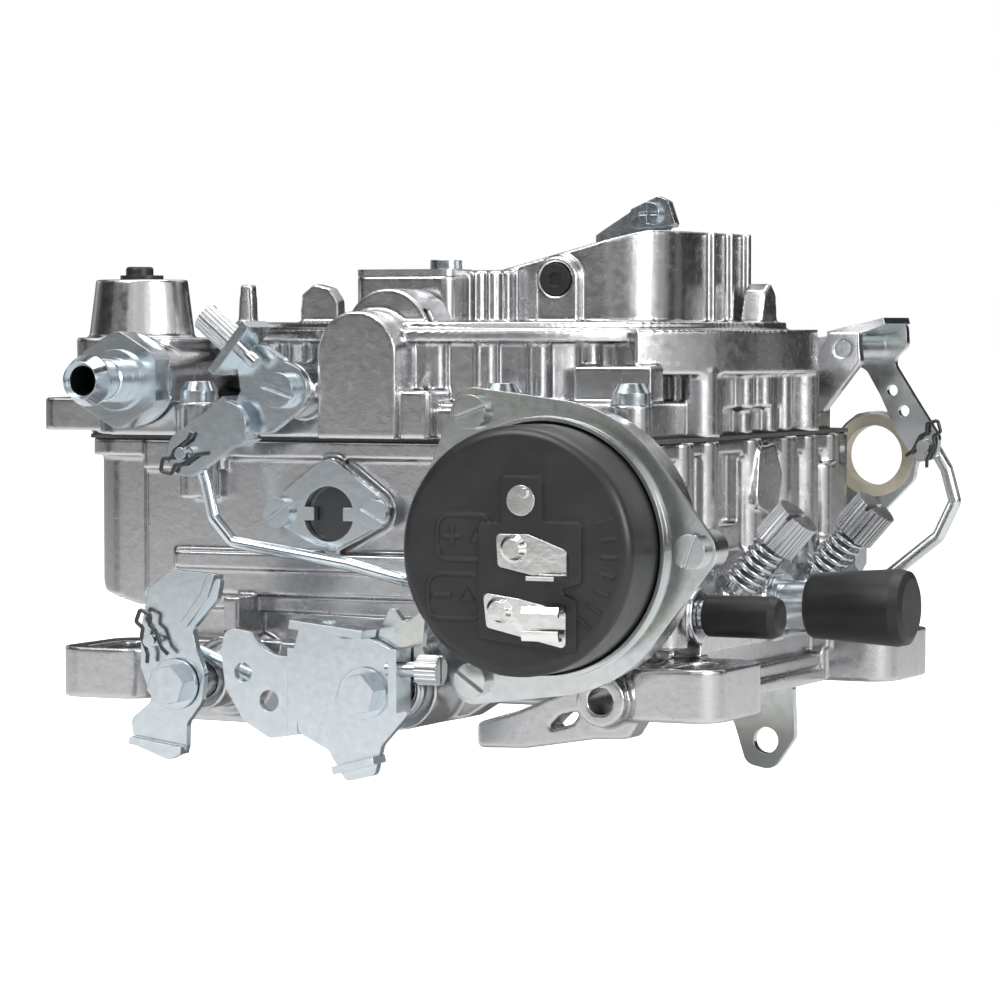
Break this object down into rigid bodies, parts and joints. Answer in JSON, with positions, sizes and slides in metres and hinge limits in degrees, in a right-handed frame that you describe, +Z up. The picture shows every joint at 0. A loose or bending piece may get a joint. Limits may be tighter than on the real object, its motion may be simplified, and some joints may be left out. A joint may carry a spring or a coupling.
{
  "type": "four-barrel carburetor",
  "caption": "Square-flange four-barrel carburetor with electric choke, air-cleaner register, barbed fuel inlet, throttle linkage and accelerator pump.",
  "frame": {"origin": "middle of the four mounting slots, on the bottom face of the base flange (manifold face)", "axes": "+Z up out of the engine, +X towards the front with the choke tower, -Y the choke side, +Y the throttle-lever side"},
  "size_m": [0.1896, 0.194, 0.1403],
  "materials": {
    "cast_aluminium": "bead-blasted and clear-dipped cast aluminium, machined faces bright",
    "gasket": "dark grey compressed-fibre gasket",
    "zinc_steel": "bright bluish-white zinc plate",
    "yellow_zinc_steel": "yellow iridescent zinc plate",
    "shaft_steel": "turned steel",
    "brass": "machined brass",
    "tinned_brass": "bright tin plate",
    "black_plastic": "moulded black phenolic plastic with a satin face",
    "sight_glass": "clear round window, dark from the bowl behind it",
    "black_rubber": "moulded black rubber",
    "black_steel": "black-oxide spring wire",
    "spring_steel": "drawn spring wire and strip",
    "liner_plastic": "natural low-friction bushing"
  },
  "bodies": {
    "carburetor": {"main_body": "cast_aluminium", "bowl_gasket": "gasket", "air_horn": "cast_aluminium", "cover_screws": "zinc_steel", "inlet_washer": "zinc_steel", "fuel_inlet_fitting": "zinc_steel", "sight_plate": "zinc_steel", "sight_glass": "sight_glass", "sight_screws": "zinc_steel", "step_up_covers": "cast_aluminium", "venturi_boosters": "cast_aluminium", "pump_nozzle": "cast_aluminium", "jets_and_seats": "brass", "choke_housing": "cast_aluminium", "choke_retainer": "yellow_zinc_steel", "choke_retainer_screws": "yellow_zinc_steel", "black_plugs": "black_plastic", "primary_return_spring": "spring_steel", "mixture_springs": "spring_steel", "vacuum_tubes": "zinc_steel", "vacuum_caps": "black_rubber", "pivot_screws": "zinc_steel"},
    "primary_throttle_body": {"primary_shaft": "shaft_steel", "primary_plates": "brass", "primary_lever": "zinc_steel", "fast_idle_lever": "yellow_zinc_steel", "primary_lever_bolt": "zinc_steel", "throttle_lever": "yellow_zinc_steel", "cable_bushing": "liner_plastic", "throttle_nut": "yellow_zinc_steel"},
    "secondary_throttle_body": {"secondary_shaft": "shaft_steel", "secondary_plates": "brass", "secondary_lever": "zinc_steel", "secondary_lever_bolt": "zinc_steel"},
    "secondary_link_body": {"secondary_link": "zinc_steel", "secondary_link_clip": "black_steel"},
    "idle_screw_body": {"idle_screw": "shaft_steel"},
    "pump_arm_body": {"pump_arm": "yellow_zinc_steel"},
    "pump_rod_body": {"pump_rod": "yellow_zinc_steel", "pump_rod_clip": "black_steel"},
    "pump_plunger_body": {"pump_plunger": "black_rubber"},
    "choke_valve_body": {"choke_shaft": "shaft_steel", "choke_plate": "zinc_steel", "choke_plate_screws": "zinc_steel", "choke_ear": "zinc_steel"},
    "thermostat_body": {"thermostat_lever": "zinc_steel"},
    "link_lever_body": {"link_lever": "zinc_steel"},
    "link_adjuster_body": {"link_adjuster": "shaft_steel"},
    "link_rod_body": {"link_rod": "zinc_steel", "link_rod_clip": "black_steel"},
    "choke_cap_body": {"choke_cap": "black_plastic", "bimetal_coil": "spring_steel", "choke_terminals": "tinned_brass"},
    "air_valve_body": {"air_valve": "zinc_steel"},
    "float_near_body": {"float_near": "black_plastic"},
    "float_far_body": {"float_far": "black_plastic"},
    "step_up_near_body": {"step_up_piston_near": "brass"},
    "step_up_far_body": {"step_up_piston_far": "brass"},
    "mixture_near_body": {"mixture_screw_near": "shaft_steel"},
    "mixture_far_body": {"mixture_screw_far": "shaft_steel"}
  },
  "joints": [
    {"name": "primary_throttle", "type": "hinge", "parent": "carburetor", "child": "primary_throttle_body", "pos_m": [0.012, 0, 0.0065], "axis": [0, -1, 0], "range_deg": [0, 75]},
    {"name": "secondary_throttle", "type": "hinge", "parent": "carburetor", "child": "secondary_throttle_body", "pos_m": [-0.0356, 0, 0.0065], "axis": [0, 1, 0], "range_deg": [0, 66]},
    {"name": "secondary_link_pin", "type": "hinge", "parent": "secondary_throttle_body", "child": "secondary_link_body", "pos_m": [-0.0406, -0.0906, 0.016], "axis": [0, -1, 0], "range_deg": [0, 67.4]},
    {"name": "idle_speed_screw", "type": "hinge", "parent": "primary_throttle_body", "child": "idle_screw_body", "pos_m": [0.026, -0.1022, 0.0122], "axis": [1, 0, 0], "range_deg": [-180, 180]},
    {"name": "pump_arm_pivot", "type": "hinge", "parent": "carburetor", "child": "pump_arm_body", "pos_m": [0.067, 0.06, 0.0795], "axis": [0, -1, 0], "range_deg": [0, 40]},
    {"name": "pump_rod_pin", "type": "hinge", "parent": "pump_arm_body", "child": "pump_rod_body", "pos_m": [0.0812, 0.068, 0.0556], "axis": [0, 1, 0], "range_deg": [0, 48.9]},
    {"name": "pump_plunger_slide", "type": "slide", "parent": "carburetor", "child": "pump_plunger_body", "axis": [0, 0, -1], "range_m": [0, 0.0104]},
    {"name": "choke_valve", "type": "hinge", "parent": "carburetor", "child": "choke_valve_body", "pos_m": [0.0283, 0, 0.0954], "axis": [0, -1, 0], "range_deg": [0, 75]},
    {"name": "thermostat_shaft", "type": "hinge", "parent": "carburetor", "child": "thermostat_body", "pos_m": [0.0489, -0.078, 0.0378], "axis": [0, -1, 0], "range_deg": [0, 25]},
    {"name": "link_lever_pivot", "type": "hinge", "parent": "carburetor", "child": "link_lever_body", "pos_m": [-0.0193, -0.077, 0.0707], "axis": [0, -1, 0], "range_deg": [0, 30]},
    {"name": "link_adjuster_screw", "type": "hinge", "parent": "link_lever_body", "child": "link_adjuster_body", "pos_m": [-0.0279, -0.082, 0.0802], "axis": [-0.7732, 0, 0.6342], "range_deg": [-180, 180]},
    {"name": "link_rod_pin", "type": "hinge", "parent": "link_lever_body", "child": "link_rod_body", "pos_m": [-0.0406, -0.082, 0.0566], "axis": [0, 1, 0], "range_deg": [0, 34.9]},
    {"name": "choke_cap_setting", "type": "hinge", "parent": "carburetor", "child": "choke_cap_body", "pos_m": [0.0489, -0.095, 0.0378], "axis": [0, -1, 0], "range_deg": [-20, 20]},
    {"name": "air_valve", "type": "hinge", "parent": "carburetor", "child": "air_valve_body", "pos_m": [-0.038, 0, 0.0796], "axis": [0, 1, 0], "range_deg": [0, 60]},
    {"name": "float_near", "type": "hinge", "parent": "carburetor", "child": "float_near_body", "pos_m": [-0.068, -0.0542, 0.0565], "axis": [0, 1, 0], "range_deg": [0, 5]},
    {"name": "float_far", "type": "hinge", "parent": "carburetor", "child": "float_far_body", "pos_m": [-0.068, 0.0542, 0.0565], "axis": [0, 1, 0], "range_deg": [0, 5]},
    {"name": "step_up_near", "type": "slide", "parent": "carburetor", "child": "step_up_near_body", "axis": [0, 0, -1], "range_m": [0, 0.0025]},
    {"name": "step_up_far", "type": "slide", "parent": "carburetor", "child": "step_up_far_body", "axis": [0, 0, -1], "range_m": [0, 0.0025]},
    {"name": "mixture_near", "type": "hinge", "parent": "carburetor", "child": "mixture_near_body", "pos_m": [0.08, -0.026, 0.0394], "axis": [0.6681, 0, 0.7441], "range_deg": [-180, 180]},
    {"name": "mixture_far", "type": "hinge", "parent": "carburetor", "child": "mixture_far_body", "pos_m": [0.08, 0.026, 0.0394], "axis": [0.6681, 0, 0.7441], "range_deg": [-180, 180]}
  ],
  "couplings": [
    {"joint": "secondary_throttle", "follows": "primary_throttle", "ratio": 0.88},
    {"joint": "secondary_link_pin", "follows": "primary_throttle", "ratio": 0.8976},
    {"joint": "pump_arm_pivot", "follows": "primary_throttle", "ratio": 0.53333},
    {"joint": "pump_rod_pin", "follows": "primary_throttle", "ratio": 0.65107},
    {"joint": "pump_plunger_slide", "follows": "primary_throttle", "m_per_rad": 0.007857},
    {"joint": "thermostat_shaft", "follows": "choke_valve", "ratio": 0.33333},
    {"joint": "link_lever_pivot", "follows": "choke_valve", "ratio": 0.4},
    {"joint": "link_rod_pin", "follows": "choke_valve", "ratio": 0.46493}
  ]
}
